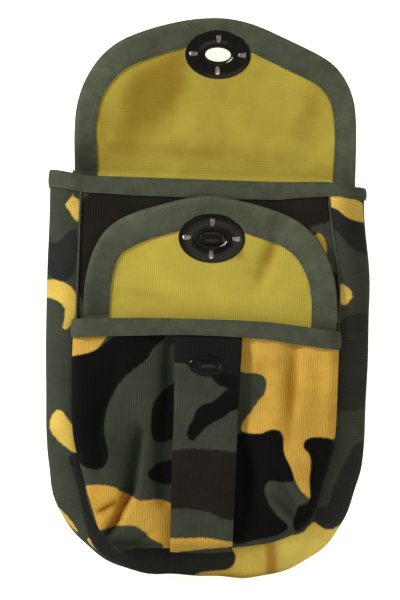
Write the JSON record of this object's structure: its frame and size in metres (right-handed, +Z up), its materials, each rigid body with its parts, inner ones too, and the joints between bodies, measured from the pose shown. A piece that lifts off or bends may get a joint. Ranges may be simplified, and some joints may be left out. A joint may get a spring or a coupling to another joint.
{
  "type": "canvas belt pouch",
  "caption": "Camouflage canvas belt pouch with a pleated front pocket, taped edges and two flaps that close on black turn-lock eyelets, shown open.",
  "frame": {"origin": "middle of the two belt loops, on the outer face of the back panel", "axes": "+Z up to the mouth, +X to the pouch's left hand as worn, -Y out of the front"},
  "size_m": [0.1614, 0.0492, 0.2802],
  "materials": {
    "canvas": "printed woodland camouflage on ribbed cotton canvas, matte",
    "lining": "plain mustard khaki cotton, matte, finely ribbed",
    "tape": "olive woven tape, matte",
    "lock": "black enamel, glossy, rubbed at the edges"
  },
  "bodies": {
    "pouch": {"back_panel": "canvas", "front_panel": "canvas", "gusset": "canvas", "front_piping": "tape", "back_piping": "tape", "mouth_binding": "tape", "pocket_panel": "canvas", "pocket_pleat": "canvas", "pocket_binding": "tape", "pocket_flap_hem": "canvas", "belt_loop_left": "tape", "belt_loop_right": "tape", "main_button_base": "lock", "main_button_clinch_plate": "lock", "main_button_spring": "lock", "pocket_button_base": "lock", "pocket_button_clinch_plate": "lock", "pocket_button_spring": "lock"},
    "main_bridge": {"main_bridge_outer": "canvas", "main_bridge_lining": "lining", "main_bridge_binding": "tape"},
    "main_flap": {"main_flap_outer": "canvas", "main_flap_lining": "lining", "main_flap_binding": "tape", "main_eyelet": "lock", "main_eyelet_backplate": "lock"},
    "pocket_bridge": {"pocket_bridge_outer": "canvas", "pocket_bridge_lining": "lining", "pocket_bridge_binding": "tape"},
    "pocket_flap": {"pocket_flap_outer": "canvas", "pocket_flap_lining": "lining", "pocket_flap_binding": "tape", "pocket_eyelet": "lock", "pocket_eyelet_backplate": "lock"},
    "main_knob": {"main_button_knob": "lock"},
    "pocket_knob": {"pocket_button_knob": "lock"}
  },
  "joints": [
    {"name": "main_flap_fold", "type": "hinge", "parent": "pouch", "child": "main_bridge", "pos_m": [0, -0.00075, 0.0524], "axis": [1, 0, 0], "range_deg": [0, 90]},
    {"name": "main_flap_turn", "type": "hinge", "parent": "main_bridge", "child": "main_flap", "pos_m": [0, -0.00075, 0.07985], "axis": [1, 0, 0], "range_deg": [0, 90]},
    {"name": "pocket_flap_fold", "type": "hinge", "parent": "pouch", "child": "pocket_bridge", "pos_m": [0, -0.02495, -0.0176], "axis": [1, 0, 0], "range_deg": [0, 90]},
    {"name": "pocket_flap_turn", "type": "hinge", "parent": "pocket_bridge", "child": "pocket_flap", "pos_m": [0, -0.02495, -0.0046], "axis": [1, 0, 0], "range_deg": [0, 90]},
    {"name": "main_knob_turn", "type": "hinge", "parent": "pouch", "child": "main_knob", "pos_m": [0, -0.022, 0.0199], "axis": [0, -1, 0], "range_deg": [0, 90]},
    {"name": "pocket_knob_turn", "type": "hinge", "parent": "pouch", "child": "pocket_knob", "pos_m": [0, -0.035, -0.0424], "axis": [0, -1, 0], "range_deg": [0, 90]}
  ],
  "couplings": [
    {"joint": "main_flap_turn", "follows": "main_flap_fold", "ratio": 1},
    {"joint": "pocket_flap_turn", "follows": "pocket_flap_fold", "ratio": 1}
  ]
}
